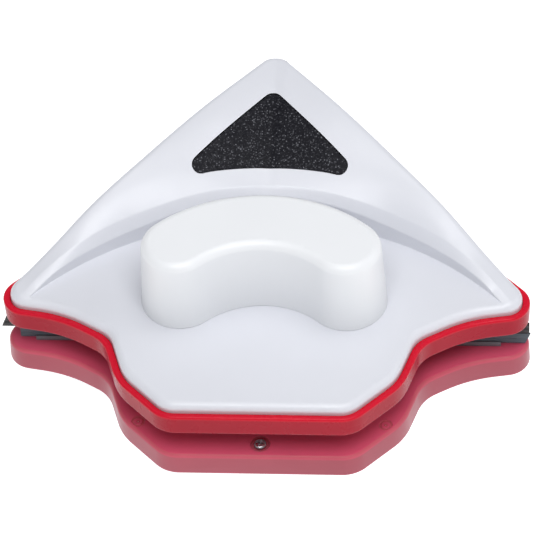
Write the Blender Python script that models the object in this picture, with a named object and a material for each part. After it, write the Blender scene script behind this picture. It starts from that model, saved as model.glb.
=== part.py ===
"""Magnetic window cleaner: two equal halves that hold each other through a pane. Metres, +Z up.

Each half is modelled once about the glass plane, with its own +Z away from the glass, and used twice. The outer
half is the inner half turned 180 degrees about Y. The origin is under the middle of the object, on the plane that
it stands on: the top of the outer half's handle. +Y points to the corner of the wedge.
"""

import math

import bmesh
import bpy
from mathutils import Matrix, Vector

# Heights above the glass plane.
GLASS_GAP = 0.00015
BASE_Z = 0.0078
FLOOR_TOP = 0.0107
RIM_TOP = 0.0205
DECK_Z = 0.0245
HANDLE_TOP = 0.0655
FIT = 0.0003

# Outline of the tray, right half, from the front round to the rear corner: x, y, corner radius.
# A negative radius is a hollow corner, and 0 a sharp one.
REAR_CORNER_Y = 0.1052
OUTLINE = (
    (0.0450, -0.1001, 0.0160),
    (0.0676, -0.0775, 0.0300),
    (0.0755, -0.0531, -0.0186),
    (0.0971, -0.0401, -0.0666),
    (0.1383, -0.0331, 0.0115),
    (0.0000, REAR_CORNER_Y, 0.0124),
)
TRAY_DRAFT = 0.0004
TRAY_FOOT_ROUND = 0.0020
TRAY_LIP_ROUND = 0.0010
LIP_WIDTH = 0.0025
COVER_INSET = 0.0034
WALL = 0.0022
SKIN = 0.0025

# The rear wedge stands behind a step, an arc about a point on the midline. Its top runs out from the crest of the
# step to the rear edges. CREST gives the crest's height over the angle from the midline, in degrees, and EDGE
# gives the rear edge's height over y.
ARC_CENTRE_Y = -0.1269
STEP_RADIUS = 0.1485
CREST = (
    (0.0, 0.0446),
    (12.0, 0.0426),
    (24.0, 0.0372),
    (32.0, 0.0350),
    (40.0, 0.0330),
    (45.0, 0.0303),
    (49.0, 0.0262),
    (52.0, 0.0246),
)
EDGE = (
    (-0.0340, 0.0246),
    (-0.0190, 0.0267),
    (-0.0050, 0.0330),
    (0.0150, 0.0443),
    (0.0410, 0.0530),
    (0.0660, 0.0594),
    (0.0950, 0.0628),
)
BULGE = 0.85

# Black plate in the wedge.
PLATE_ARC_RADIUS = 0.1607
PLATE_CORNER_X = 0.0455
PLATE_APEX_Y = 0.0750
PLATE_ROUND = 0.0040
PLATE_CORNER_REACH = 0.0175
PLATE_DEPTH = 0.0014
PLATE_SUNK = 0.0001

# Handle: a band bent about a point on the midline, with round ends.
BEND_CENTRE_Y = -0.0736
BEND_RADIUS = 0.0589
BEND_HALF_ANGLE = math.radians(42.1)
HANDLE_HALF_WIDTH = 0.0190
HANDLE_DRAFT = 0.0018
HANDLE_ROUND = 0.0044

# Screws.
BASE_SCREWS = ((0.0, -0.0916), (-0.0880, 0.0020), (0.0880, 0.0020), (0.0, 0.0860))
HANDLE_SCREWS = ((-0.0330, -0.0370), (0.0330, -0.0370))
RECESS_RADIUS = 0.0046
RECESS_DEPTH = 0.0015
HEAD_RADIUS = 0.0030
HEAD_HEIGHT = 0.0019
SLOT_REACH = 0.0017
SLOT_HALF = 0.0003
SLOT_DEPTH = 0.0009
SHAFT_RADIUS = 0.0014
CLEARANCE_RADIUS = 0.0018
PILOT_RADIUS = 0.0017
BOSS_RADIUS = 0.0045
BASE_SCREW_LENGTH = 0.0098
HANDLE_SCREW_LENGTH = 0.0110
SCREW_POINT = 0.0010
SCREW_BITE = 0.0005

# Magnets, their carrier and their yoke.
MAGNET_RADIUS = 0.0140
MAGNET_HEIGHT = 0.0070
MAGNETS = ((-0.0290, -0.0620), (0.0290, -0.0620), (-0.0290, -0.0120), (0.0290, -0.0120))
CARRIER_HALF = (0.0470, 0.0430)
CARRIER_CENTRE_Y = -0.0370
CARRIER_HEIGHT = 0.0025
CARRIER_ROUND = 0.0060
YOKE_HALF = (0.0450, 0.0410)
YOKE_HEIGHT = 0.0015

# Blade and pads on the cleaning face. Each blade is pressed into its rail's slot, and its ends are cut by hand.
BLADE_Y = -0.0270
RAIL_HALF_LENGTH = 0.1120
RAIL_HALF_WIDTH = 0.0022
RAIL_BOTTOM = 0.0052
RAIL_EDGE = 0.0005
SLOT_HALF_WIDTH = 0.0012
SLOT_TOP = 0.0068
BLADE_ENDS = {"inner": (-0.1282, 0.1256), "outer": (-0.1262, 0.1195)}
BLADE_TIP_SLANT = 0.0026
BLADE_HALF_WIDTH = 0.0009
BLADE_LIP_HALF_WIDTH = 0.0004
BLADE_TAPER = 0.0030
FRONT_PAD = ((0.0360, -0.0815, 0.006), (0.0540, -0.0635, 0.006), (0.0570, -0.0340, 0.006))
REAR_PAD = ((0.0985, -0.0180, 0.006), (0.0, 0.0805, 0.008))
PAD_ROUND = 0.0014

# How far a cutter or a form that is cut to shape reaches, beyond everything that it has to meet.
BELOW = -0.0200
ABOVE = 0.1000
FAN_NEAR = 0.0150
FAN_BEYOND = 1.2
FAN_HALF_ANGLE = math.radians(64)
LAYER_STEP = 0.0080
LAYER_HALF_ANGLE = math.radians(20)

SHARP_ANGLE = math.radians(35)

WHITE = (0.76, 0.77, 0.80)
RED = (0.62, 0.012, 0.035)
ROSE = (0.52, 0.11, 0.15)
BLACK = (0.012, 0.012, 0.015)
COLOURS = {
    "white_plastic": (WHITE, 0.32, 0.0),
    "red_plastic": (RED, 0.25, 0.0),
    "rose_plastic": (ROSE, 0.35, 0.0),
    "black_plate": (BLACK, 0.55, 0.0),
    "black_rubber": ((0.01, 0.01, 0.011), 0.6, 0.0),
    "grey_rubber": ((0.07, 0.09, 0.11), 0.6, 0.0),
    "grey_plastic": ((0.16, 0.17, 0.19), 0.5, 0.0),
    "zinc_steel": ((0.55, 0.56, 0.58), 0.3, 1.0),
    "magnet_nickel": ((0.60, 0.60, 0.59), 0.22, 1.0),
    "pad_fabric": ((0.55, 0.58, 0.62), 0.95, 0.0),
}


def clear_scene():
    for obj in list(bpy.data.objects):
        bpy.data.objects.remove(obj, do_unlink=True)


def make_material(name):
    colour, roughness, metallic = COLOURS[name]
    material = bpy.data.materials.new(name)
    material.use_nodes = True
    shader = material.node_tree.nodes["Principled BSDF"]
    shader.inputs["Base Color"].default_value = (*colour, 1.0)
    shader.inputs["Roughness"].default_value = roughness
    shader.inputs["Metallic"].default_value = metallic
    return material


# Outlines: lists of (x, y), counterclockwise seen from above.


def rounded(corners, inset=0.0, segments=6):
    """A closed polygon of (x, y, radius) corners, moved inwards by inset, with its corners rounded.

    Every inset gives the same number of points, so that two outlines can be joined point by point.
    """
    count = len(corners)
    lines = []
    for index in range(count):
        start = Vector(corners[index][:2])
        end = Vector(corners[(index + 1) % count][:2])
        along = (end - start).normalized()
        inwards = Vector((-along.y, along.x))
        lines.append((start + inwards * inset, along))
    points = []
    for index in range(count):
        (before, way_in), (after, way_out) = lines[index - 1], lines[index]
        turn = way_in.cross(way_out)
        corner = before + way_in * ((after - before).cross(way_out) / turn)
        if corners[index][2] == 0:
            points.append(corner)
            continue
        radius = max(abs(corners[index][2]) - inset * math.copysign(1.0, turn * corners[index][2]), 0.001)
        angle = math.atan2(turn, way_in.dot(way_out))
        reach = radius * math.tan(abs(angle) / 2)
        centre = corner - way_in * reach + Vector((-way_in.y, way_in.x)) * math.copysign(radius, turn)
        arm = corner - way_in * reach - centre
        for step in range(segments + 1):
            points.append(centre + Matrix.Rotation(angle * step / segments, 2) @ arm)
    return [(point.x, point.y) for point in points]


def mirrored(right):
    """The corners of a whole outline from those of its right half. A corner on the midline isn't repeated."""
    left = [(-x, y, radius) for x, y, radius in reversed(right) if x > 0]
    return [*right, *left]


def band(inset=0.0, arc_segments=10, end_segments=9):
    """The handle's outline: two arcs about the bend centre, joined by round ends."""
    half = HANDLE_HALF_WIDTH - inset
    points = []

    def arc(centre, radius, start, end, segments):
        for step in range(segments):
            angle = start + (end - start) * step / segments
            points.append((centre[0] + radius * math.cos(angle), centre[1] + radius * math.sin(angle)))

    bend = (0.0, BEND_CENTRE_Y)
    right, left = math.pi / 2 - BEND_HALF_ANGLE, math.pi / 2 + BEND_HALF_ANGLE
    ends = [(BEND_RADIUS * math.cos(a), BEND_CENTRE_Y + BEND_RADIUS * math.sin(a)) for a in (right, left)]
    arc(bend, BEND_RADIUS + half, right, left, arc_segments)
    arc(ends[1], half, left, left + math.pi, end_segments)
    arc(bend, BEND_RADIUS - half, left, right, arc_segments)
    arc(ends[0], half, right + math.pi, right + 2 * math.pi, end_segments)
    return points


def plate_outline(grow=0.0, arc_segments=6):
    """The black plate: two sides that meet in a round corner to the rear, and an arc in front.

    The arc has no points near its ends, so that the round corners have straight sides to run into.
    """
    half_angle = math.asin(PLATE_CORNER_X / PLATE_ARC_RADIUS)
    clear_angle = half_angle - PLATE_CORNER_REACH / PLATE_ARC_RADIUS
    inner = [clear_angle * (2 * step / arc_segments - 1) for step in range(arc_segments + 1)]
    corners = [(0.0, PLATE_APEX_Y, PLATE_ROUND)]
    for angle in (-half_angle, *inner, half_angle):
        x, y = PLATE_ARC_RADIUS * math.sin(angle), ARC_CENTRE_Y + PLATE_ARC_RADIUS * math.cos(angle)
        corners.append((x, y, PLATE_ROUND if abs(angle) == half_angle else 0))
    return rounded(corners, -grow, 4)


def smooth_curve(points, place):
    """The value at place on a smooth curve through (place, value) points, level beyond both ends."""
    if place <= points[0][0]:
        return points[0][1]
    if place >= points[-1][0]:
        return points[-1][1]
    slopes = [(b[1] - a[1]) / (b[0] - a[0]) for a, b in zip(points, points[1:])]
    tangents = [0.0, *((a + b) / 2 for a, b in zip(slopes, slopes[1:])), slopes[-1]]
    index = max(i for i in range(len(points) - 1) if points[i][0] <= place)
    (start, first), (end, last) = points[index], points[index + 1]
    width = end - start
    t = (place - start) / width
    return (
        (2 * t**3 - 3 * t**2 + 1) * first
        + (t**3 - 2 * t**2 + t) * width * tangents[index]
        + (3 * t**2 - 2 * t**3) * last
        + (t**3 - t**2) * width * tangents[index + 1]
    )


def edge_distance(angle):
    """How far the cover's rear edge is from the centre of the step's arc, in a direction."""
    line = REAR_CORNER_Y - COVER_INSET * math.sqrt(2) - ARC_CENTRE_Y
    return line / (math.sin(abs(angle)) + math.cos(angle))


def wedge_height(angle, distance):
    """Height of the wedge's top over a point given by its direction and distance from the arc's centre."""
    edge = edge_distance(angle)
    crest_z = smooth_curve(CREST, math.degrees(abs(angle)))
    edge_z = smooth_curve(EDGE, ARC_CENTRE_Y + edge * math.cos(angle))
    share = (distance - STEP_RADIUS) / (edge - STEP_RADIUS)
    rise = share + BULGE * share * (1 - share) if share < 1 else 1 + (1 - BULGE) * (share - 1)
    return crest_z + (edge_z - crest_z) * rise


# Solids: each returns a mesh object in the half's own frame.


def add_mesh(name, build):
    """A new object whose mesh build(bm) makes."""
    bm = bmesh.new()
    build(bm)
    bmesh.ops.recalc_face_normals(bm, faces=bm.faces)
    mesh = bpy.data.meshes.new(name)
    bm.to_mesh(mesh)
    bm.free()
    obj = bpy.data.objects.new(name, mesh)
    bpy.context.scene.collection.objects.link(obj)
    return obj


def loft(name, rings):
    """A closed body through rings of equal length, each a list of (x, y, z), with flat ends."""

    def build(bm):
        rows = [[bm.verts.new(point) for point in ring] for ring in rings]
        for lower, upper in zip(rows, rows[1:]):
            for index in range(len(lower)):
                following = (index + 1) % len(lower)
                bm.faces.new((lower[index], lower[following], upper[following], upper[index]))
        bm.faces.new(rows[0][::-1])
        bm.faces.new(rows[-1])

    return add_mesh(name, build)


def at(outline, z):
    return [(x, y, z) for x, y in outline]


def prism(name, outline, low, high):
    return loft(name, [at(outline, low), at(outline, high)])


def circle(x, y, radius, segments=16):
    turns = [2 * math.pi * step / segments for step in range(segments)]
    return [(x + radius * math.cos(turn), y + radius * math.sin(turn)) for turn in turns]


def cylinder(name, x, y, radius, low, high, segments=16):
    return prism(name, circle(x, y, radius, segments), low, high)


def fan(name, half_angle, steps, section):
    """A body swept about the step arc's centre: section(angle) gives (distance, z) points, the same number each."""
    rings = []
    for step in range(steps + 1):
        angle = half_angle * (2 * step / steps - 1)
        side, ahead = math.sin(angle), math.cos(angle)
        rings.append([(d * side, ARC_CENTRE_Y + d * ahead, z) for d, z in section(angle)])
    return loft(name, rings)


def under_deck(name, drop, step_radius):
    """Everything below the cover's top, lowered by drop: flat in front of the step, the wedge behind it."""
    shares = (0.0, 0.1, 0.25, 0.45, 0.65, 0.85, 1.0, FAN_BEYOND)

    def section(angle):
        front = [(FAN_NEAR, BELOW), (FAN_NEAR, DECK_Z - drop), (step_radius, DECK_Z - drop)]
        reach = edge_distance(angle) - step_radius
        distances = [step_radius + reach * share for share in shares]
        top = [(distance, wedge_height(angle, distance) - drop) for distance in distances]
        return [*front, *top, (distances[-1], BELOW)]

    return fan(name, FAN_HALF_ANGLE, 28, section)


def wedge_layer(name, low_offset, high_offset):
    """A curved slab between two offsets of the wedge's top, wide enough for the black plate."""
    distances = [STEP_RADIUS + LAYER_STEP * i for i in range(1, 9)]

    def section(angle):
        top = [(distance, wedge_height(angle, distance)) for distance in distances]
        return [(d, z + high_offset) for d, z in top] + [(d, z + low_offset) for d, z in reversed(top)]

    return fan(name, LAYER_HALF_ANGLE, 8, section)


def boolean(target, other, operation):
    """Applies one Boolean to target and removes the other object."""
    modifier = target.modifiers.new(operation.lower(), "BOOLEAN")
    modifier.operation = operation
    modifier.solver = "MANIFOLD"
    modifier.object = other
    bpy.context.view_layer.update()
    evaluated = target.evaluated_get(bpy.context.evaluated_depsgraph_get())
    mesh = bpy.data.meshes.new_from_object(evaluated)
    target.modifiers.clear()
    target.data = mesh
    bpy.data.objects.remove(other, do_unlink=True)
    return target


def cut(target, *others):
    for other in others:
        boolean(target, other, "DIFFERENCE")
    return target


# Sub-parts of one half.


def wedge_body(name, inset, drop, step_radius, bottom):
    """The cover's outer form, or with a drop its hollow: low in front of the step, and a wedge behind it."""
    body = prism(name, rounded(mirrored(OUTLINE), inset), bottom, ABOVE)
    return boolean(body, under_deck("under", drop, step_radius), "INTERSECT")


def make_cover():
    cover = wedge_body("cover", COVER_INSET, 0.0, STEP_RADIUS, FLOOR_TOP + FIT)
    hollow = wedge_body("hollow", COVER_INSET + WALL, SKIN, STEP_RADIUS + WALL, BELOW)
    for x, y in BASE_SCREWS:
        cut(hollow, cylinder("boss", x, y, BOSS_RADIUS, 2 * BELOW, 2 * ABOVE))
    cut(cover, hollow)
    for x, y in BASE_SCREWS:
        cut(cover, cylinder("pilot", x, y, PILOT_RADIUS, BELOW, FLOOR_TOP + BASE_SCREW_LENGTH - SCREW_BITE, 8))
    for x, y in HANDLE_SCREWS:
        cut(cover, cylinder("hole", x, y, CLEARANCE_RADIUS, BELOW, ABOVE, 8))
    recess = prism("recess", plate_outline(FIT), DECK_Z, ABOVE)
    boolean(recess, wedge_layer("over", -PLATE_DEPTH - FIT, -BELOW), "INTERSECT")
    return cut(cover, recess)


def make_base_tray():
    outline = mirrored(OUTLINE)
    quarter = (0.0, math.pi / 4, math.pi / 2)
    foot = [
        (TRAY_DRAFT + TRAY_FOOT_ROUND * (1 - math.sin(a)), BASE_Z + TRAY_FOOT_ROUND * (1 - math.cos(a)))
        for a in quarter
    ]
    lip = [
        (TRAY_LIP_ROUND * (1 - math.cos(a)), RIM_TOP - TRAY_LIP_ROUND * (1 - math.sin(a))) for a in quarter
    ]
    section = [*foot, *lip, (LIP_WIDTH, RIM_TOP), (LIP_WIDTH, FLOOR_TOP)]
    tray = loft("base_tray", [at(rounded(outline, inset), z) for inset, z in section])
    for x, y in BASE_SCREWS:
        cut(tray, cylinder("recess", x, y, RECESS_RADIUS, BELOW, BASE_Z + RECESS_DEPTH, 14))
        cut(tray, cylinder("hole", x, y, CLEARANCE_RADIUS, BELOW, ABOVE, 8))
    return tray


def make_handle():
    foot = DECK_Z + FIT
    shoulder = HANDLE_TOP - HANDLE_ROUND
    rings = [at(band(0.0), foot)]
    for step in range(4):
        angle = math.pi / 2 * step / 3
        inset = HANDLE_DRAFT + HANDLE_ROUND * (1 - math.cos(angle))
        rings.append(at(band(inset), shoulder + HANDLE_ROUND * math.sin(angle)))
    handle = loft("handle", rings)
    hollow_rings = (
        (WALL, BELOW),
        (WALL, foot),
        (HANDLE_DRAFT + WALL, shoulder),
        (HANDLE_DRAFT + HANDLE_ROUND, HANDLE_TOP - SKIN),
    )
    hollow = loft("hollow", [at(band(inset), z) for inset, z in hollow_rings])
    for x, y in HANDLE_SCREWS:
        cut(hollow, cylinder("boss", x, y, BOSS_RADIUS, 2 * BELOW, 2 * ABOVE, 12))
    cut(handle, hollow)
    for x, y in HANDLE_SCREWS:
        cut(handle, cylinder("pilot", x, y, PILOT_RADIUS, BELOW, foot + HANDLE_SCREW_LENGTH, 8))
    return handle


def make_inset_plate():
    plate = prism("inset_plate", plate_outline(), DECK_Z, ABOVE)
    return boolean(plate, wedge_layer("layer", -PLATE_DEPTH, -PLATE_SUNK), "INTERSECT")


def make_screw(name, x, y, seat, length):
    """A pan-head screw with a cross slot: its head is below seat, and its pointed shaft runs up from there."""
    profile = (
        (HEAD_RADIUS * 0.60, -HEAD_HEIGHT),
        (HEAD_RADIUS * 0.92, -HEAD_HEIGHT * 0.75),
        (HEAD_RADIUS, -HEAD_HEIGHT * 0.35),
        (HEAD_RADIUS, 0.0),
        (SHAFT_RADIUS, 0.0),
        (SHAFT_RADIUS, length - SCREW_POINT),
        (SHAFT_RADIUS * 0.4, length),
    )
    screw = loft(name, [at(circle(x, y, radius, 10), seat + z) for radius, z in profile])
    top = seat - HEAD_HEIGHT
    for half_x, half_y in ((SLOT_REACH, SLOT_HALF), (SLOT_HALF, SLOT_REACH)):
        sides = [(x + half_x * i, y + half_y * j) for i, j in ((-1, -1), (1, -1), (1, 1), (-1, 1))]
        cut(screw, prism("slot", sides, BELOW, top + SLOT_DEPTH))
    return screw


def make_screws():
    screws = []
    seat = BASE_Z + RECESS_DEPTH - FIT
    for number, (x, y) in enumerate(BASE_SCREWS, 1):
        screws.append(make_screw(f"base_screw_{number}", x, y, seat, BASE_SCREW_LENGTH))
    seat = DECK_Z - SKIN - FIT
    for number, (x, y) in enumerate(HANDLE_SCREWS, 1):
        screws.append(make_screw(f"handle_screw_{number}", x, y, seat, HANDLE_SCREW_LENGTH))
    return screws


def rectangle(half):
    """A rectangle about the magnets' middle, with round corners."""
    x, y = half
    corners = [(px, py + CARRIER_CENTRE_Y, CARRIER_ROUND) for px, py in ((x, -y), (x, y), (-x, y), (-x, -y))]
    return rounded(corners, 0.0, 4)


def make_magnet_stack():
    low = FLOOR_TOP + FIT
    carrier = prism("magnet_carrier", rectangle(CARRIER_HALF), low, low + CARRIER_HEIGHT)
    stack = [carrier]
    for number, (x, y) in enumerate(MAGNETS, 1):
        cut(carrier, cylinder("seat", x, y, MAGNET_RADIUS + FIT, BELOW, ABOVE, 20))
        stack.append(cylinder(f"magnet_{number}", x, y, MAGNET_RADIUS, low, low + MAGNET_HEIGHT, 20))
    yoke_low = low + MAGNET_HEIGHT + FIT
    yoke = prism("yoke_plate", rectangle(YOKE_HALF), yoke_low, yoke_low + YOKE_HEIGHT)
    for x, y in HANDLE_SCREWS:
        cut(yoke, cylinder("clearance", x, y, BOSS_RADIUS, BELOW, ABOVE, 14))
    return [*stack, yoke]


def along_x(name, section, left, right):
    """A bar whose section is (y, z) points about the blade's line. left and right give x for each point."""
    ends = [[(end(z), BLADE_Y + y, z) for y, z in section] for end in (left, right)]
    return loft(name, ends)


def make_rail():
    top = BASE_Z - FIT
    half = (
        (SLOT_HALF_WIDTH, SLOT_TOP),
        (SLOT_HALF_WIDTH, RAIL_BOTTOM),
        (RAIL_HALF_WIDTH - RAIL_EDGE, RAIL_BOTTOM),
        (RAIL_HALF_WIDTH, RAIL_BOTTOM + RAIL_EDGE),
        (RAIL_HALF_WIDTH, top),
    )
    section = [*half, *((-y, z) for y, z in reversed(half))]
    return along_x("blade_rail", section, lambda z: -RAIL_HALF_LENGTH, lambda z: RAIL_HALF_LENGTH)


def make_blade(half_name):
    """A flat strip with a thin lip on the glass. Its left end is cut at a slant, longest at the lip."""
    root = SLOT_TOP - FIT
    taper = GLASS_GAP + BLADE_TAPER
    half = ((BLADE_LIP_HALF_WIDTH, GLASS_GAP), (BLADE_HALF_WIDTH, taper), (BLADE_HALF_WIDTH, root))
    section = [*half, *((-y, z) for y, z in reversed(half))]
    left, right = BLADE_ENDS[half_name]
    return along_x("wiper_blade", section, lambda z: left + BLADE_TIP_SLANT * z / root, lambda z: right)


def make_pads():
    pads = []
    for name, corners in (("front_pad", FRONT_PAD), ("rear_pad", REAR_PAD)):
        outline = mirrored(corners)
        levels = ((PAD_ROUND, GLASS_GAP), (0.0, GLASS_GAP + PAD_ROUND), (0.0, BASE_Z - FIT))
        pads.append(loft(name, [at(rounded(outline, inset, 4), z) for inset, z in levels]))
    return pads


MATERIAL_OF = {
    "cover": ("white_plastic", "white_plastic"),
    "base_tray": ("red_plastic", "rose_plastic"),
    "handle": ("white_plastic", "white_plastic"),
    "inset_plate": ("black_plate", "black_plate"),
    "wiper_blade": ("black_rubber", "grey_rubber"),
    "blade_rail": ("grey_plastic", "grey_plastic"),
    "magnet_carrier": ("grey_plastic", "grey_plastic"),
    "yoke_plate": ("zinc_steel", "zinc_steel"),
    "front_pad": ("pad_fabric", "pad_fabric"),
    "rear_pad": ("pad_fabric", "pad_fabric"),
}


def material_name(part, half):
    if part in MATERIAL_OF:
        return MATERIAL_OF[part][half]
    return "magnet_nickel" if part.startswith("magnet_") else "zinc_steel"


def place_half(parts, prefix, half, turn):
    """One object for each part, sharing the part's mesh, under an empty on the glass plane."""
    glass = bpy.data.objects.new(prefix + "_half", None)
    bpy.context.scene.collection.objects.link(glass)
    glass.location.z = HANDLE_TOP
    glass.rotation_euler.y = turn
    for part, mesh in parts:
        obj = bpy.data.objects.new(f"{prefix}_{part}", mesh)
        bpy.context.scene.collection.objects.link(obj)
        obj.parent = glass
        obj.material_slots[0].link = "OBJECT"
        obj.material_slots[0].material = bpy.data.materials[material_name(part, half)]


def finished(parts):
    """(name, mesh) of each part, shaded smooth, with its helper object removed."""
    done = []
    for part in parts:
        mesh = part.data
        mesh.shade_smooth()
        mesh.set_sharp_from_angle(angle=SHARP_ANGLE)
        mesh.materials.clear()
        mesh.materials.append(None)
        done.append((part.name.split(".")[0], mesh))
        bpy.data.objects.remove(part, do_unlink=True)
    return done


def main():
    clear_scene()
    for name in COLOURS:
        make_material(name)
    parts = [make_cover(), make_base_tray(), make_handle(), make_inset_plate(), make_rail()]
    parts = finished([*parts, *make_magnet_stack(), *make_pads(), *make_screws()])
    place_half([*parts, *finished([make_blade("inner")])], "inner", 0, 0.0)
    place_half([*parts, *finished([make_blade("outer")])], "outer", 1, math.pi)


main()
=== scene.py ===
"""The look of the magnetic glass cleaner: fine meshes, procedural materials, cloth pads, studio and camera.

Each half's pieces are made about the glass plane, with +Z away from the glass, and then placed twice.
The outer half is the inner half turned 180 degrees about Y.
"""

import math

import bmesh
import bpy
import numpy as np
from mathutils import Matrix, Vector, geometry


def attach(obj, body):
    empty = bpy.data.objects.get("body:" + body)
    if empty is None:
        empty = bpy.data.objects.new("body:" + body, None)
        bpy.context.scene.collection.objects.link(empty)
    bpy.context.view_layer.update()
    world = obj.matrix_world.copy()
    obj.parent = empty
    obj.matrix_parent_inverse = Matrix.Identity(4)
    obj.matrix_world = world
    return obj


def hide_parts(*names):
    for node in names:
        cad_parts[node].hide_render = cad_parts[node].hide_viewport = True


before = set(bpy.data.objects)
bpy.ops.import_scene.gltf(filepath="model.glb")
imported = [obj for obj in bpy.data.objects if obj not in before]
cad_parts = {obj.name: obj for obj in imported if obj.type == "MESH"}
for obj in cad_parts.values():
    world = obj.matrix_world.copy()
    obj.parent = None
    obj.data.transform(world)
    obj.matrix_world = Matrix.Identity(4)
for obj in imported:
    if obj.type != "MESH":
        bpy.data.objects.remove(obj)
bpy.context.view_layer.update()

# Heights above the glass plane, in metres, as in the CAD.
BASE_Z = 0.0078
RIM_TOP = 0.0205
DECK_Z = 0.0245
HANDLE_TOP = 0.0655
GLASS_GAP = 0.00015

# Outline of the tray, right half: x, y, corner radius. A negative radius is a hollow corner.
REAR_CORNER_Y = 0.1052
OUTLINE = (
    (0.0450, -0.1001, 0.0160),
    (0.0676, -0.0775, 0.0300),
    (0.0755, -0.0531, -0.0186),
    (0.0971, -0.0401, -0.0666),
    (0.1383, -0.0331, 0.0115),
    (0.0000, REAR_CORNER_Y, 0.0124),
)
RING_SPACING = 0.0020

# The cover's edge: the CAD's inset, which sets where the wedge ends, and the look's own.
COVER_INSET = 0.0034
LOOK_COVER_INSET = 0.0037
COVER_SKIRT = 0.0060
EDGE_ROUND = 0.0036

# The wedge behind the curved step. CREST gives the crest's height over the angle from the midline, in degrees,
# and EDGE the rear edge's height over y. CREST is lower and BULGE weaker than in the CAD.
ARC_CENTRE_Y = -0.1269
STEP_RADIUS = 0.1485
CREST = (
    (0.0, 0.0438),
    (12.0, 0.0412),
    (24.0, 0.0357),
    (32.0, 0.0338),
    (40.0, 0.0324),
    (45.0, 0.0301),
    (49.0, 0.0262),
    (52.0, 0.0246),
)
EDGE = (
    (-0.0340, 0.0246),
    (-0.0190, 0.0267),
    (-0.0050, 0.0330),
    (0.0150, 0.0443),
    (0.0410, 0.0530),
    (0.0660, 0.0594),
    (0.0950, 0.0628),
)
BULGE = 0.65
CREST_WIDTH = 0.0038
CREST_DROP = 0.0019
CREST_POWER = 1.3
STEP_ROOT_ROUND = 0.0004
STEP_LEAN = 0.05
CREST_DROP_MOST = 0.5
ROOT_MOST = 0.15
LEAST_LEAN = 0.00001
LEAST_WEDGE = 0.0020
DECK_LEVEL_FROM = 0.0060

# Points over the cover's top: a fan about the step's centre.
FAN_HALF_ANGLE = 1.1
FAN_SIDE_COLUMNS = 125
LEAST_GRID_ROOT = 0.0002
LEAST_GRID_LEAN = 0.00008
ROOT_SHARES = (1.25, 1.0, 0.6, 0.25, 0.0)
CREST_LINE_GAP = 0.00006
CREST_ROWS = 9
WEDGE_ROWS = 35
WEDGE_ROW_GAP = 0.0026
WEDGE_POINT_GAP = 0.0024
DECK_ROWS = 23
DECK_GAP = 0.0060
CLEAR_OF_EDGE = 0.0008
CLEAR_OF_HOLE = 0.0006
SAME_POINT = 1e-8

# Black plate.
PLATE_ARC_RADIUS = 0.1607
PLATE_CORNER_X = 0.0455
PLATE_APEX_Y = 0.0750
PLATE_ROUND = 0.0040
PLATE_CORNER_REACH = 0.0175
PLATE_GAP = 0.00012
PLATE_SUNK = 0.00012
PLATE_THICKNESS = 0.0013
PLATE_EDGE = 0.0002
PLATE_LIP = 0.00025
PLATE_WELL_DEPTH = 0.0016
PLATE_SPACING = 0.0015

# Handle.
BEND_CENTRE_Y = -0.0736
BEND_RADIUS = 0.0589
BEND_HALF_ANGLE = math.radians(42.1)
HANDLE_HALF_WIDTH = 0.0190
HANDLE_DRAFT = 0.0018
HANDLE_ROUND = 0.0044
HANDLE_FOOT_INSET = 0.0003
HANDLE_FOOT_BOTTOM = 0.00005
HANDLE_FOOT_TOP = 0.0004
HANDLE_TOP_INSETS = (0.0085, 0.0115, 0.0145, 0.0172, 0.0187)

# Tray.
TRAY_DRAFT = 0.0004
FOOT_ROUND = 0.0020
LIP_ROUND = 0.0010
LIP_FLAT = 0.0002
LOOK_LIP_WIDTH = 0.0034
LIP_FALL = 0.0008
LIP_INNER_EDGE = (0.00015, 0.0003)
RIM_WALL_DEPTH = 0.0070
LIP_SLOPE = math.atan2(LIP_FALL, LOOK_LIP_WIDTH - LIP_ROUND)
BASE_SCREWS = ((0.0, -0.0916), (-0.0880, 0.0020), (0.0880, 0.0020), (0.0, 0.0860))
RECESS_RADIUS = 0.0046
RECESS_DEPTH = 0.0015
RECESS_FLOOR_RADIUS = 0.0019

# The edge of a hollow in the cleaning face: how far out, how high and how far turned in, in degrees.
HOLLOW_EDGE = 0.0004
RECESS_PROFILE = (
    (0.0, 0.0, 0.0),
    (-0.0003, 0.00015, 45.0),
    (-HOLLOW_EDGE, 0.0004, 90.0),
    (-HOLLOW_EDGE, RECESS_DEPTH, 90.0),
)
MARK_PROFILE = ((0.0, 0.0, 0.0), (-0.0003, 0.0003, 45.0), (-HOLLOW_EDGE, 0.0004, 90.0))
MARKS = ((-0.0587, -0.0790), (0.0587, -0.0790))
MARK_RADIUS = 0.0034
MARK_DEPTH = 0.0005
MARK_BOSS_RADIUS = 0.0022

# The boss in a mark: radius, height over the face and slope of the surface, in degrees.
MARK_BOSS = (
    (MARK_BOSS_RADIUS, MARK_DEPTH, 0.0),
    (0.0021, 0.00015, 40.0),
    (0.0018, 0.0, 90.0),
    (0.0010, 0.0, 90.0),
    (0.0008, 0.0003, 90.0),
    (0.0002, 0.0004, 90.0),
)

# Screws.
SCREW_SUNK = 0.0003
SHAFT_RADIUS = 0.0014
SHAFT_STUB = 0.0040
HEAD_RADIUS = 0.0030
HEAD_HEIGHT = 0.0019
HEAD_BEVEL = (0.0001, 0.0002)
HEAD_WALL = 0.0006
HEAD_FLAT_SHARE = 0.55
HEAD_TIP_SHARE = 0.5
CROSS_TURN = 0.35
CROSS_SECTIONS = ((-0.0005, 0.0021, 0.00042), (0.0012, 0.0009, 0.00025))

# Blade and pads.
BLADE_Y = -0.0270
BLADE_ENDS = {"inner": (-0.1282, 0.1256), "outer": (-0.1262, 0.1195)}
BLADE_TIP_SLANT = 0.0026
BLADE_TOP = 0.0065
BLADE_STEPS = 40
BLADE_WAVE = 0.00008
BLADE_WAVE_RATE = 90.0
BLADE_WAVE_START = {"inner": 0.6, "outer": 2.1}

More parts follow.
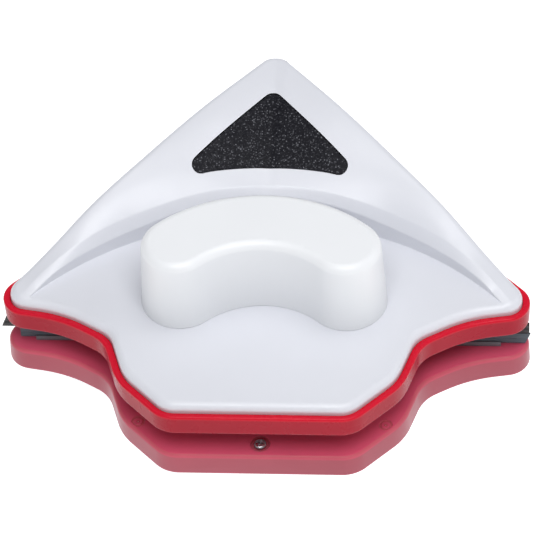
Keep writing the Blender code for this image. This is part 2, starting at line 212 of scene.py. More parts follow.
# One side of the blade's section, as half width and height: a thin lip, two beads and a flat root.
BLADE_SIDE = (
    (0.00035, GLASS_GAP + 0.00005),
    (0.00050, GLASS_GAP + 0.0006),
    (0.00088, GLASS_GAP + 0.0026),
    (0.00090, GLASS_GAP + 0.0032),
    (0.00062, GLASS_GAP + 0.0036),
    (0.00062, GLASS_GAP + 0.0040),
    (0.00090, GLASS_GAP + 0.0044),
    (0.00090, BLADE_TOP - 0.0001),
    (0.00080, BLADE_TOP),
)
FRONT_PAD = ((0.0360, -0.0815, 0.006), (0.0540, -0.0635, 0.006), (0.0570, -0.0340, 0.006))
REAR_PAD = ((0.0985, -0.0180, 0.006), (0.0, 0.0805, 0.008))
PAD_LOW = 0.0016
PAD_BELOW_TRAY = 0.0010
PAD_INSET = 0.0012
PAD_VOXEL = 0.0026
PAD_MOST_SWELL = 0.0014
PAD_LOWER_SIDE = 0.0035
PAD_LEAST_GAPS = (0.0001, 0.0003)
PRESSED_LINE = 0.0052
PRESSED_WIDTH = 0.0013
PRESSED_DEPTH = 0.0008
RIPPLE_DEPTH = 0.00012
RIPPLE_RATES = (610, 570)
SWELL_PRESSURE = 4.0
SWELL_FRAMES = 20

# Studio and camera.
FLOOR_HALF_SIDE = 7.0
FLOOR_Z = -0.0004
FLOOR_GLOW = 0.62
SKY_COLOUR = (0.97, 0.98, 1.0, 1.0)
SKY_STRENGTH = 0.34
LIGHT_TARGET = (0.0, 0.0, 0.08)
CAMERA_ELEVATION = math.radians(48)
CAMERA_AZIMUTH = math.radians(6.2)
CAMERA_ROLL = math.radians(3.9)
CAMERA_DISTANCE = 1.92
CAMERA_LENS = 270.17
CAMERA_TARGET = (-0.0007, -0.0049, HANDLE_TOP + RIM_TOP)

# Moulded skin, shared by the plastics.
GLOSS_SCALE = 130.0
SKIN_SCALE = 900.0
SKIN_DEPTH = 0.000012

HALVES = ("inner", "outer")


# Materials. Every one is procedural, in object coordinates.


def new_material(name):
    material = bpy.data.materials.new(name)
    material.use_nodes = True
    nodes, links = material.node_tree.nodes, material.node_tree.links
    shader = nodes["Principled BSDF"]
    place = nodes.new("ShaderNodeTexCoord").outputs["Object"]
    return material, nodes, links, shader, place


def noise(nodes, links, place, scale, detail):
    node = nodes.new("ShaderNodeTexNoise")
    node.inputs["Scale"].default_value = scale
    node.inputs["Detail"].default_value = detail
    links.new(place, node.inputs["Vector"])
    return node.outputs["Fac"]


def ramp(nodes, links, factor, stops):
    """A colour ramp from (position, colour) stops. A number for a colour is a grey."""
    node = nodes.new("ShaderNodeValToRGB")
    ends = node.color_ramp.elements
    while len(ends) < len(stops):
        ends.new(0.5)
    for end, (position, colour) in zip(ends, stops):
        end.position = position
        end.color = (*colour, 1.0) if isinstance(colour, tuple) else (colour, colour, colour, 1.0)
    links.new(factor, node.inputs["Fac"])
    return node.outputs["Color"]


def bump(nodes, links, shader, height, depth, strength=1.0):
    node = nodes.new("ShaderNodeBump")
    node.inputs["Distance"].default_value = depth
    node.inputs["Strength"].default_value = strength
    links.new(height, node.inputs["Height"])
    links.new(node.outputs["Normal"], shader.inputs["Normal"])


def tinted(colour, amount):
    return tuple(channel * amount for channel in colour)


def multiplied(nodes, links, first, second):
    node = nodes.new("ShaderNodeMix")
    node.data_type, node.blend_type = "RGBA", "MULTIPLY"
    node.inputs["Factor"].default_value = 1.0
    links.new(first, node.inputs["A"])
    links.new(second, node.inputs["B"])
    return node.outputs["Result"]


def uneven_gloss(nodes, links, shader, place, roughness):
    gloss = noise(nodes, links, place, scale=GLOSS_SCALE, detail=5.0)
    stops = ((0.3, roughness * 0.9), (0.7, roughness * 1.12))
    links.new(ramp(nodes, links, gloss, stops), shader.inputs["Roughness"])


def moulded(name, colour, roughness, coat=0.0, spread=0.03, grain=SKIN_SCALE, grain_depth=SKIN_DEPTH):
    """Moulded plastic: faint flow shades in its colour, uneven gloss and a fine skin."""
    material, nodes, links, shader, place = new_material(name)
    flow = noise(nodes, links, place, scale=22.0, detail=3.0)
    stops = ((0.3, tinted(colour, 1 - spread)), (0.7, tinted(colour, 1 + spread)))
    links.new(ramp(nodes, links, flow, stops), shader.inputs["Base Color"])
    uneven_gloss(nodes, links, shader, place, roughness)
    shader.inputs["Coat Weight"].default_value = coat
    shader.inputs["Coat Roughness"].default_value = 0.12
    bump(nodes, links, shader, noise(nodes, links, place, scale=grain, detail=2.0), grain_depth)
    return material


def tray_plastic_painted_light(name, stops, roughness):
    """Moulded plastic whose colour changes with the height above the glass, from (height, colour) stops, to
    paint highlights on round edges and shade on the side wall.
    """
    material, nodes, links, shader, place = new_material(name)
    split = nodes.new("ShaderNodeSeparateXYZ")
    links.new(place, split.inputs["Vector"])
    bottom, top = stops[0][0], stops[-1][0]
    share = nodes.new("ShaderNodeMapRange")
    share.inputs["From Min"].default_value, share.inputs["From Max"].default_value = bottom, top
    links.new(split.outputs["Z"], share.inputs["Value"])
    shares = [((z - bottom) / (top - bottom), colour) for z, colour in stops]
    # Painted light: the colour by height stands in for highlights and shade on the tray.
    shade = ramp(nodes, links, share.outputs["Result"], shares)
    flow = ramp(nodes, links, noise(nodes, links, place, scale=26.0, detail=3.0), ((0.3, 0.90), (0.7, 1.0)))
    links.new(multiplied(nodes, links, shade, flow), shader.inputs["Base Color"])
    uneven_gloss(nodes, links, shader, place, roughness)
    shader.inputs["Specular IOR Level"].default_value = 0.15
    bump(nodes, links, shader, noise(nodes, links, place, scale=SKIN_SCALE, detail=2.0), SKIN_DEPTH)
    return material


def glitter(name):
    """Black plate with fine bright flakes of many sizes."""
    material, nodes, links, shader, place = new_material(name)
    cells = nodes.new("ShaderNodeTexVoronoi")
    cells.inputs["Scale"].default_value = 1600.0
    cells.inputs["Randomness"].default_value = 1.0
    links.new(place, cells.inputs["Vector"])
    split = nodes.new("ShaderNodeSeparateColor")
    links.new(cells.outputs["Color"], split.inputs["Color"])
    flakes = ramp(nodes, links, split.outputs["Red"], ((0.0, 0.0), (0.45, 0.008), (0.80, 0.06), (1.0, 0.38)))
    heart = ramp(nodes, links, cells.outputs["Distance"], ((0.25, 1.0), (0.55, 0.15)))
    colour = nodes.new("ShaderNodeMix")
    colour.data_type = "RGBA"
    colour.inputs["A"].default_value = (0.0045, 0.0045, 0.0080, 1.0)
    colour.inputs["B"].default_value = (0.55, 0.56, 0.62, 1.0)
    links.new(multiplied(nodes, links, flakes, heart), colour.inputs["Factor"])
    links.new(colour.outputs["Result"], shader.inputs["Base Color"])
    gloss = ramp(nodes, links, split.outputs["Green"], ((0.0, 0.30), (1.0, 0.62)))
    links.new(gloss, shader.inputs["Roughness"])
    shader.inputs["Specular IOR Level"].default_value = 0.12
    bump(nodes, links, shader, split.outputs["Blue"], depth=0.00003, strength=0.6)
    return material


def metal(name, colour, roughness, scale=260.0):
    """Plated metal with a fine uneven sheen and small dull spots."""
    material, nodes, links, shader, place = new_material(name)
    spots = noise(nodes, links, place, scale=scale, detail=6.0)
    shade = ramp(nodes, links, spots, ((0.3, tinted(colour, 0.82)), (0.65, colour)))
    links.new(shade, shader.inputs["Base Color"])
    gloss = ramp(nodes, links, spots, ((0.3, roughness * 1.5), (0.7, roughness * 0.8)))
    links.new(gloss, shader.inputs["Roughness"])
    shader.inputs["Metallic"].default_value = 1.0
    bump(nodes, links, shader, spots, depth=0.00001)
    return material


def rubber(name, colour):
    material, nodes, links, shader, place = new_material(name)
    bloom = noise(nodes, links, place, scale=70.0, detail=5.0)
    shade = ramp(nodes, links, bloom, ((0.35, colour), (0.75, tinted(colour, 1.7))))
    links.new(shade, shader.inputs["Base Color"])
    links.new(ramp(nodes, links, bloom, ((0.3, 0.48), (0.7, 0.66))), shader.inputs["Roughness"])
    bump(nodes, links, shader, noise(nodes, links, place, scale=1400.0, detail=2.0), depth=0.00002)
    return material


def cloth(name, colour):
    """Short looped cleaning cloth: loops in rows, painted lighter at their tops and darker between them as
    light and shade, with a soft sheen.
    """
    material, nodes, links, shader, place = new_material(name)
    loops = nodes.new("ShaderNodeTexVoronoi")
    loops.inputs["Scale"].default_value = 620.0
    loops.inputs["Randomness"].default_value = 0.55
    links.new(place, loops.inputs["Vector"])
    wear = noise(nodes, links, place, scale=60.0, detail=4.0)
    # Painted light and shade: lighter at each loop's middle, darker in the gaps between loops.
    loop_tones_painted_shade = ((0.0, tinted(colour, 1.12)), (0.6, tinted(colour, 0.62)))
    tone = ramp(nodes, links, loops.outputs["Distance"], loop_tones_painted_shade)
    patch = ramp(nodes, links, wear, ((0.3, 0.88), (0.7, 1.0)))
    links.new(multiplied(nodes, links, tone, patch), shader.inputs["Base Color"])
    links.new(ramp(nodes, links, wear, ((0.3, 0.86), (0.7, 0.98))), shader.inputs["Roughness"])
    shader.inputs["Sheen Weight"].default_value = 0.35
    height = ramp(nodes, links, loops.outputs["Distance"], ((0.0, 1.0), (0.7, 0.0)))
    bump(nodes, links, shader, height, depth=0.0004, strength=0.8)
    return material


WHITE = moulded("white_moulded", (0.700, 0.712, 0.765), 0.36, coat=0.10, spread=0.012)
# The handle's white is the cover's white plastic made lighter: painted light for the handle's brighter top.
HANDLE_WHITE_PAINTED_LIGHTER = moulded("handle_moulded_painted_lighter", (0.830, 0.845, 0.870), 0.38, coat=0.10, spread=0.010)
# Painted light on the red tray: the side wall is darkened as painted shade, and the rim's round top, from 18.4
# mm up, is lightened as a painted highlight.
RED = tray_plastic_painted_light(
    "red_moulded_painted_light",
    (
        (0.0078, (0.42, 0.012, 0.03)),
        (0.0105, (0.36, 0.004, 0.020)),
        (0.0184, (0.38, 0.004, 0.020)),
        (0.0196, (0.60, 0.006, 0.024)),
        (0.0205, (0.66, 0.008, 0.030)),
    ),
    0.28,
)
# Painted light on the rose tray: the cleaning face is lightened against the shade under the red tray, the
# foot's round carries a painted highlight, and the side wall is darker as painted shade.
ROSE = tray_plastic_painted_light(
    "rose_moulded_painted_light",
    (
        (0.0078, (0.70, 0.100, 0.180)),
        (0.0080, (0.60, 0.110, 0.150)),
        (0.0090, (0.60, 0.110, 0.160)),
        (0.0098, (0.41, 0.085, 0.115)),
        (0.0185, (0.40, 0.095, 0.125)),
        (0.0205, (0.46, 0.08, 0.12)),
    ),
    0.32,
)
GREY = moulded("grey_moulded", (0.16, 0.17, 0.19), 0.52, grain=600.0, grain_depth=0.00003)
GLITTER = glitter("black_glitter")
ZINC = metal("zinc_plated", (0.62, 0.63, 0.66), 0.26)
NICKEL = metal("nickel_plated", (0.66, 0.65, 0.62), 0.20, scale=180.0)
BLACK_RUBBER = rubber("black_rubber_skin", (0.0045, 0.0045, 0.006))
GREY_RUBBER = rubber("grey_rubber_skin", (0.050, 0.066, 0.082))
PAD_CLOTH = cloth("cleaning_cloth", (0.50, 0.53, 0.58))


# Outlines: lists of (x, y), counterclockwise seen from above.


def rounded(corners, inset=0.0, segments=10):
    """A closed polygon of (x, y, radius) corners, moved inwards by inset, with its corners rounded."""
    count = len(corners)
    lines = []
    for index in range(count):
        start = Vector(corners[index][:2])
        end = Vector(corners[(index + 1) % count][:2])
        along = (end - start).normalized()
        lines.append((start + Vector((-along.y, along.x)) * inset, along))
    points = []
    for index in range(count):
        (before, way_in), (after, way_out) = lines[index - 1], lines[index]
        turn = way_in.cross(way_out)
        corner = before + way_in * ((after - before).cross(way_out) / turn)
        if corners[index][2] == 0:
            points.append(corner)
            continue
        radius = max(abs(corners[index][2]) - inset * math.copysign(1.0, turn * corners[index][2]), 0.0004)
        angle = math.atan2(turn, way_in.dot(way_out))
        reach = radius * math.tan(abs(angle) / 2)
        centre = corner - way_in * reach + Vector((-way_in.y, way_in.x)) * math.copysign(radius, turn)
        arm = corner - way_in * reach - centre
        for step in range(segments + 1):
            points.append(centre + Matrix.Rotation(angle * step / segments, 2) @ arm)
    return [(point.x, point.y) for point in points]


def mirrored(right):
    left = [(-x, y, radius) for x, y, radius in reversed(right) if x > 0]
    return [*right, *left]


def dense(make, inset, spacing):
    """make(inset) with its long sides divided, as make(0) sets, so that each inset has as many points."""
    base, moved = make(0.0), make(inset)
    points = []
    for index in range(len(base)):
        a, b = Vector(base[index]), Vector(base[(index + 1) % len(base)])
        divisions = max(1, math.ceil((b - a).length / spacing))
        start, end = Vector(moved[index]), Vector(moved[(index + 1) % len(moved)])
        points += [start.lerp(end, step / divisions) for step in range(divisions)]
    return [(point.x, point.y) for point in points]


def tray_outline(inset):
    return rounded(mirrored(OUTLINE), inset, 14)


def tray_ring(inset):
    return dense(tray_outline, inset, RING_SPACING)


def cover_ring(inset):
    return dense(tray_outline, LOOK_COVER_INSET + inset, RING_SPACING)


def plate_ring(grow, arc_segments=16):
    """The plate's outline. The arc has no points near its ends, where the round corners run into it."""
    half_angle = math.asin(PLATE_CORNER_X / PLATE_ARC_RADIUS)
    clear_angle = half_angle - PLATE_CORNER_REACH / PLATE_ARC_RADIUS
    inner = [clear_angle * (2 * step / arc_segments - 1) for step in range(arc_segments + 1)]
    corners = [(0.0, PLATE_APEX_Y, PLATE_ROUND)]
    for angle in (-half_angle, *inner, half_angle):
        x, y = PLATE_ARC_RADIUS * math.sin(angle), ARC_CENTRE_Y + PLATE_ARC_RADIUS * math.cos(angle)
        corners.append((x, y, PLATE_ROUND if abs(angle) == half_angle else 0))
    return dense(lambda inset: rounded(corners, inset, 8), -grow, PLATE_SPACING)


def band(inset, arc_segments=48, end_segments=32):
    """The handle's crescent outline."""
    half = HANDLE_HALF_WIDTH - inset
    points = []

    def arc(centre, radius, start, end, segments):
        for step in range(segments):
            angle = start + (end - start) * step / segments
            points.append((centre[0] + radius * math.cos(angle), centre[1] + radius * math.sin(angle)))

    bend = (0.0, BEND_CENTRE_Y)
    right, left = math.pi / 2 - BEND_HALF_ANGLE, math.pi / 2 + BEND_HALF_ANGLE
    ends = [(BEND_RADIUS * math.cos(a), BEND_CENTRE_Y + BEND_RADIUS * math.sin(a)) for a in (right, left)]
    arc(bend, BEND_RADIUS + half, right, left, arc_segments)
    arc(ends[1], half, left, left + math.pi, end_segments)
    arc(bend, BEND_RADIUS - half, left, right, arc_segments)
    arc(ends[0], half, right + math.pi, right + 2 * math.pi, end_segments)
    return points


def quarter_turn(segments):
    return [math.pi / 2 * step / segments for step in range(segments + 1)]


def circle(x, y, radius, segments=40):
    turns = [2 * math.pi * step / segments for step in range(segments)]
    return [(x + radius * math.cos(turn), y + radius * math.sin(turn)) for turn in turns]


# The cover's top as a height over (x, y).


def smooth_curve(points, place):
    """The value at place on a smooth curve through (place, value) points, level beyond both ends."""
    if place <= points[0][0]:
        return points[0][1]
    if place >= points[-1][0]:
        return points[-1][1]
    slopes = [(b[1] - a[1]) / (b[0] - a[0]) for a, b in zip(points, points[1:])]
    tangents = [0.0, *((a + b) / 2 for a, b in zip(slopes, slopes[1:])), slopes[-1]]
    index = max(i for i in range(len(points) - 1) if points[i][0] <= place)
    (start, first), (end, last) = points[index], points[index + 1]
    width = end - start
    t = (place - start) / width
    return (
        (2 * t**3 - 3 * t**2 + 1) * first
        + (t**3 - 2 * t**2 + t) * width * tangents[index]
        + (3 * t**2 - 2 * t**3) * last
        + (t**3 - t**2) * width * tangents[index + 1]
    )


def wedge_height(angle, distance):
    """Height of the wedge's top at an angle and distance from the step's centre."""
    line = REAR_CORNER_Y - COVER_INSET * math.sqrt(2) - ARC_CENTRE_Y
    edge = max(line / (math.sin(abs(angle)) + math.cos(angle)), STEP_RADIUS + LEAST_WEDGE)
    crest_z = smooth_curve(CREST, math.degrees(abs(angle)))
    edge_z = smooth_curve(EDGE, ARC_CENTRE_Y + edge * math.cos(angle))
    share = (distance - STEP_RADIUS) / (edge - STEP_RADIUS)
    rise = share + BULGE * share * (1 - share) if share < 1 else 1 + (1 - BULGE) * (share - 1)
    return crest_z + (edge_z - crest_z) * rise


def step_sizes(angle):
    """The step's height at an angle, split into crest drop, wall and root, with the wall's lean."""
    tall = wedge_height(angle, STEP_RADIUS) - DECK_Z
    crest_drop = min(CREST_DROP, CREST_DROP_MOST * tall)
    root = min(STEP_ROOT_ROUND, ROOT_MOST * tall)
    wall = tall - crest_drop - root
    return crest_drop, wall, root, max(wall * STEP_LEAN, LEAST_LEAN)


def cover_top(x, y):
    """Height of the cover's top: the deck, a leaning step with a bevelled crest, and the wedge."""
    angle, distance = math.atan2(x, y - ARC_CENTRE_Y), math.hypot(x, y - ARC_CENTRE_Y)
    if distance < STEP_RADIUS - DECK_LEVEL_FROM:
        return DECK_Z
    top = wedge_height(angle, max(distance, STEP_RADIUS))
    crest_drop, wall, root, lean = step_sizes(angle)
    past = distance - STEP_RADIUS
    if past >= CREST_WIDTH:
        return top
    if past >= 0:
        return top - crest_drop * (1 - past / CREST_WIDTH) ** CREST_POWER
    if past >= -lean:
        return DECK_Z + root + wall * (1 + past / lean)
    across = (past + lean + root) / root if root > 0 else 0
    if across <= 0:
        return DECK_Z
    return DECK_Z + root * (1 - math.sqrt(max(0.0, 1 - across * across)))


def slope(x, y, reach=0.00004):
    """The height's rise along x and y."""
    along_x = (cover_top(x + reach, y) - cover_top(x - reach, y)) / (2 * reach)
    along_y = (cover_top(x, y + reach) - cover_top(x, y - reach)) / (2 * reach)
    return along_x, along_y


# Mesh building: a shape is points, faces and, where it matters, a normal for each point.


class Shape:
    def __init__(self):
        self.points, self.normals, self.faces = [], [], []

    def add(self, point, normal=None):
        self.points.append(tuple(point))
        self.normals.append(None if normal is None else Vector(normal).normalized())
        return len(self.points) - 1

    def ring(self, outline, height, normal=None):
        """Adds a ring of points. height(x, y) gives z, and normal(index, x, y) the normal."""
        return [
            self.add((x, y, height(x, y)), None if normal is None else normal(i, x, y))
            for i, (x, y) in enumerate(outline)
        ]

    def join(self, lower, upper):
        for i in range(len(lower)):
            k = (i + 1) % len(lower)
            self.faces.append((lower[i], lower[k], upper[k], upper[i]))

    def join_all(self, rings):
        for lower, upper in zip(rings, rings[1:]):
            self.join(lower, upper)

    def skin(self, outline_at, sections):
        """Adds and joins a ring for each (inset, z, turn), with normals turned up from outward by turn.

        outline_at(inset) gives a ring's outline. Returns the (outline, indices) of each ring.
        """
        rows = []
        for inset, z, turn in sections:
            outline = outline_at(inset)
            ways = outward(outline)
            side, up = math.cos(turn), math.sin(turn)
            ring = self.ring(outline, level(z), lambda i, x, y: (ways[i].x * side, ways[i].y * side, up))
            rows.append((outline, ring))
        self.join_all([ring for _, ring in rows])
        return rows

    def mesh(self, name):
        mesh = bpy.data.meshes.new(name)
        mesh.from_pydata(self.points, [], self.faces)
        mesh.update()
        mesh.shade_smooth()
        if all(normal is not None for normal in self.normals):
            mesh.normals_split_custom_set_from_vertices([tuple(n) for n in self.normals])
        return mesh


def level(z):
    return lambda x, y: z


def outward(outline):
    """The outward unit normal at each point of a counterclockwise outline."""
    count = len(outline)
    found = []
    for i in range(count):
        along = Vector(outline[(i + 1) % count]) - Vector(outline[i - 1])
        found.append(Vector((along.y, -along.x)).normalized())
    return found


def inside(points, polygon):
    """Which of the points lie in the polygon."""
    x, y = points[:, 0:1], points[:, 1:2]
    start = np.array(polygon)
    end = np.roll(start, -1, axis=0)
    crosses = (start[:, 1] > y) != (end[:, 1] > y)
    with np.errstate(divide="ignore", invalid="ignore"):
        at = (end[:, 0] - start[:, 0]) * (y - start[:, 1]) / (end[:, 1] - start[:, 1]) + start[:, 0]
    return (crosses & (x < at)).sum(axis=1) % 2 == 1


def gap_to(points, polygon):
    """Each point's distance from the polygon's points."""
    ring = np.array(polygon)
    return np.sqrt(((points[:, None, :] - ring[None, :, :]) ** 2).sum(axis=2)).min(axis=1)


def fill(shape, loops, extra, add_point):
    """Fills the first loop with triangles, leaving out the other loops' insides.

    A loop is (outline, the indices its points have in shape). extra holds more (x, y) points to use, and
    add_point(x, y) adds one of those to shape.
    """
    flat, index_of, edges = [], [], []
    for outline, indices in loops:
        start = len(flat)
        flat += [Vector(point) for point in outline]
        index_of += indices
        edges += [(start + i, start + (i + 1) % len(outline)) for i in range(len(outline))]
    if len(extra):
        keep = inside(extra, loops[0][0]) & (gap_to(extra, loops[0][0]) > CLEAR_OF_EDGE)
        for outline, _ in loops[1:]:
            keep &= ~inside(extra, outline) & (gap_to(extra, outline) > CLEAR_OF_HOLE)
        flat += [Vector(point) for point in extra[keep]]
    made, _, faces, sources, _, _ = geometry.delaunay_2d_cdt(flat, edges, [], 1, SAME_POINT)
    indices = []
    for point, source in zip(made, sources):
        known = [index_of[s] for s in source if s < len(index_of)]
        indices.append(known[0] if known else add_point(point.x, point.y))
    middles = np.array([[sum(made[i][k] for i in face) / 3 for k in (0, 1)] for face in faces])
    good = inside(middles, loops[0][0])
    for outline, _ in loops[1:]:
        good &= ~inside(middles, outline)
    for face, wanted in zip(faces, good):
        if wanted:
            shape.faces.append(tuple(indices[i] for i in face))


def top_grid():
    """Points for the cover's top: rows about the step's centre, on the step's own edges at each angle."""
    points = []

    def add(angle, distance):
        points.append((distance * math.sin(angle), ARC_CENTRE_Y + distance * math.cos(angle)))

    def add_row(distance, gap):
        count = int(2 * FAN_HALF_ANGLE * distance / gap)
        for i in range(count + 1):
            add(2 * FAN_HALF_ANGLE * (i / count - 0.5), distance)

    for i in range(-FAN_SIDE_COLUMNS, FAN_SIDE_COLUMNS + 1):
        angle = i / FAN_SIDE_COLUMNS * FAN_HALF_ANGLE
        _, _, root, lean = step_sizes(angle)
        root, lean = max(root, LEAST_GRID_ROOT), max(lean, LEAST_GRID_LEAN)
        for share in ROOT_SHARES:
            add(angle, STEP_RADIUS - lean - root * share)
        for past in (-CREST_LINE_GAP, CREST_LINE_GAP):
            add(angle, STEP_RADIUS + past)
        for row in range(1, CREST_ROWS + 2):
            add(angle, STEP_RADIUS + CREST_WIDTH * row / CREST_ROWS)
    for row in range(1, WEDGE_ROWS + 1):
        add_row(STEP_RADIUS + CREST_WIDTH + WEDGE_ROW_GAP * row, WEDGE_POINT_GAP)
    for row in range(1, DECK_ROWS + 1):
        add_row(STEP_RADIUS - DECK_GAP * row, DECK_GAP)
    return np.array(points)


def draped_ring(shape, outline, drop, ways, side, up):
    """A ring that lies drop below the cover's top. Its normals mix side of ways and up of the top's own."""

    def normal(i, x, y):
        along_x, along_y = slope(x, y)
        return (ways[i].x * side - along_x * up, ways[i].y * side - along_y * up, up + 1e-9)

    return shape.ring(outline, lambda x, y: cover_top(x, y) - drop, normal)


def draped_points(shape, drop):
    """A function that adds a point to shape, drop below the cover's top."""

    def add_point(x, y):
        along_x, along_y = slope(x, y)
        return shape.add((x, y, cover_top(x, y) - drop), (-along_x, -along_y, 1.0))

    return add_point


def cover_shape():
    """The white cover, from inside the tray's rim up over its round edge, with the plate's recess."""
    shape = Shape()
    outer = cover_ring(0.0)
    away = outward(outer)
    rings = [shape.ring(outer, level(RIM_TOP - COVER_SKIRT), lambda i, x, y: (away[i].x, away[i].y, 0.0))]
    for turn in quarter_turn(8):
        outline = cover_ring(EDGE_ROUND * (1 - math.cos(turn)))
        drop = EDGE_ROUND * (1 - math.sin(turn))
        rings.append(draped_ring(shape, outline, drop, away, math.cos(turn), math.sin(turn)))
    shape.join_all(rings)

    walls = []
    for turn in quarter_turn(4):
        outline = plate_ring(PLATE_GAP + PLATE_LIP * (1 - math.sin(turn)))
        drop = PLATE_LIP * (1 - math.cos(turn))
        walls.append(draped_ring(shape, outline, drop, outward(outline), -math.sin(turn), math.cos(turn)))
    floor = plate_ring(PLATE_GAP)
    walls.append(draped_ring(shape, floor, PLATE_WELL_DEPTH, outward(floor), -1.0, 0.0))
    shape.join_all(walls[::-1])

    loops = [(cover_ring(EDGE_ROUND), rings[-1]), (plate_ring(PLATE_GAP + PLATE_LIP), walls[0])]
    fill(shape, loops, top_grid(), draped_points(shape, 0.0))
    return shape


def plate_shape():
    """The black plate: a thin body that follows the wedge, with a round edge."""
    shape = Shape()
    outline = plate_ring(0.0)
    rings = [draped_ring(shape, outline, PLATE_THICKNESS, outward(outline), 1.0, 0.0)]
    for turn in quarter_turn(4):
        outline = plate_ring(-PLATE_EDGE * (1 - math.cos(turn)))
        drop = PLATE_SUNK + PLATE_EDGE * (1 - math.sin(turn))
        rings.append(draped_ring(shape, outline, drop, outward(outline), math.cos(turn), math.sin(turn)))
    shape.join_all(rings)
    fill(shape, [(outline, rings[-1])], top_grid(), draped_points(shape, PLATE_SUNK))
    return shape


def handle_shape():
    """The crescent handle: drafted sides with a small foot, a round shoulder and a flat top."""
    shape = Shape()
    shoulder = HANDLE_TOP - HANDLE_ROUND
    lean = math.atan2(HANDLE_DRAFT, shoulder - DECK_Z)
    sections = [(HANDLE_FOOT_INSET, DECK_Z + HANDLE_FOOT_BOTTOM, 0.0), (0.0, DECK_Z + HANDLE_FOOT_TOP, lean)]
    for share in (0.2, 0.4, 0.6, 0.8):
        sections.append((HANDLE_DRAFT * share, DECK_Z + (shoulder - DECK_Z) * share, lean))
    for turn in quarter_turn(12):
        inset = HANDLE_DRAFT + HANDLE_ROUND * (1 - math.cos(turn))
        sections.append((inset, shoulder + HANDLE_ROUND * math.sin(turn), max(turn, lean)))
    sections += [(inset, HANDLE_TOP, math.pi / 2) for inset in HANDLE_TOP_INSETS]
    rows = shape.skin(band, sections)
    fill(shape, [rows[-1]], np.empty((0, 2)), lambda x, y: shape.add((x, y, HANDLE_TOP), (0, 0, 1)))
    return shape


def tray_shape():
    """The red tray: cleaning face with recesses, round foot, side wall and a round-topped rim."""
    shape = Shape()
    foot_top = BASE_Z + FOOT_ROUND
    lip_start = LIP_ROUND + LIP_FLAT
    sections = []
    for turn in quarter_turn(8):
        inset = TRAY_DRAFT + FOOT_ROUND * (1 - math.sin(turn))
        sections.append((inset, BASE_Z + FOOT_ROUND * (1 - math.cos(turn)), turn - math.pi / 2))
    for share in (0.33, 0.67):
        sections.append((TRAY_DRAFT * (1 - share), foot_top + (RIM_TOP - LIP_ROUND - foot_top) * share, 0.0))
    for turn in quarter_turn(6):
        sections.append((LIP_ROUND * (1 - math.cos(turn)), RIM_TOP - LIP_ROUND * (1 - math.sin(turn)), turn))
    sections.append((lip_start, RIM_TOP, math.pi / 2))
    for share in (0.12, 0.5, 1.0):
        inset = lip_start + (LOOK_LIP_WIDTH - lip_start) * share
        sections.append((inset, RIM_TOP - LIP_FALL * share, math.pi / 2 + LIP_SLOPE))
    inner_inset = LOOK_LIP_WIDTH + LIP_INNER_EDGE[0]
    sections.append((inner_inset, RIM_TOP - LIP_FALL - LIP_INNER_EDGE[1], math.pi))
    sections.append((inner_inset, RIM_TOP - RIM_WALL_DEPTH, math.pi))
    rows = shape.skin(tray_ring, sections)

    loops = [rows[0]]
    for x, y in BASE_SCREWS:
        radius = RECESS_RADIUS + HOLLOW_EDGE
        loops.append(hollow(shape, x, y, radius, RECESS_PROFILE, RECESS_DEPTH, RECESS_FLOOR_RADIUS))
    for x, y in MARKS:
        loops.append(hollow(shape, x, y, MARK_RADIUS, MARK_PROFILE, MARK_DEPTH, MARK_BOSS_RADIUS))
        ring_mark(shape, x, y)

    start = len(shape.faces)
    fill(shape, loops, np.empty((0, 2)), lambda x, y: shape.add((x, y, BASE_Z), (0, 0, -1)))
    shape.faces[start:] = [face[::-1] for face in shape.faces[start:]]
    return shape


def hollow(shape, x, y, radius, profile, depth, floor_radius):
    """A round hollow in the cleaning face, with a softened edge and a flat floor.

    Returns the loop it leaves in the face.
    """
    sections = []
    for inset, rise, degrees in profile:
        sections.append((radius + inset, BASE_Z + rise, -math.radians(degrees) - math.pi / 2))
    for reach in (radius + profile[-1][0], floor_radius):
        sections.append((reach, BASE_Z + depth, -math.pi / 2))
    return shape.skin(lambda reach: circle(x, y, reach), sections[::-1])[-1]


def ring_mark(shape, x, y):
    """The low boss in the middle of a round mark."""
    sections = [(radius, BASE_Z + rise, -math.radians(degrees)) for radius, rise, degrees in MARK_BOSS]
    shape.skin(lambda radius: circle(x, y, radius), sections[::-1])


def sharp_mesh(mesh, degrees):
    mesh.shade_smooth()
    mesh.set_sharp_from_angle(angle=math.radians(degrees))
    return mesh


def applied(obj, kind, **settings):
    """The object's mesh with one modifier applied."""
    modifier = obj.modifiers.new(kind.lower(), kind)
    for key, value in settings.items():
        setattr(modifier, key, value)
    bpy.context.view_layer.update()
    mesh = bpy.data.meshes.new_from_object(obj.evaluated_get(bpy.context.evaluated_depsgraph_get()))
    obj.modifiers.clear()
    old, obj.data = obj.data, mesh
    bpy.data.meshes.remove(old)
    return mesh


def loose(name, mesh):
    obj = bpy.data.objects.new(name, mesh)
    bpy.context.scene.collection.objects.link(obj)
    return obj


def lofted(name, rings):
    """A closed object through rings of (x, y, z) points."""
    bm = bmesh.new()
    rows = [[bm.verts.new(point) for point in ring] for ring in rings]
    for lower, upper in zip(rows, rows[1:]):
        for index in range(len(lower)):
            k = (index + 1) % len(lower)
            bm.faces.new((lower[index], lower[k], upper[k], upper[index]))
    bm.faces.new(rows[0][::-1])
    bm.faces.new(rows[-1])
    bmesh.ops.recalc_face_normals(bm, faces=bm.faces)
    mesh = bpy.data.meshes.new(name)
    bm.to_mesh(mesh)
    bm.free()
    return loose(name, mesh)


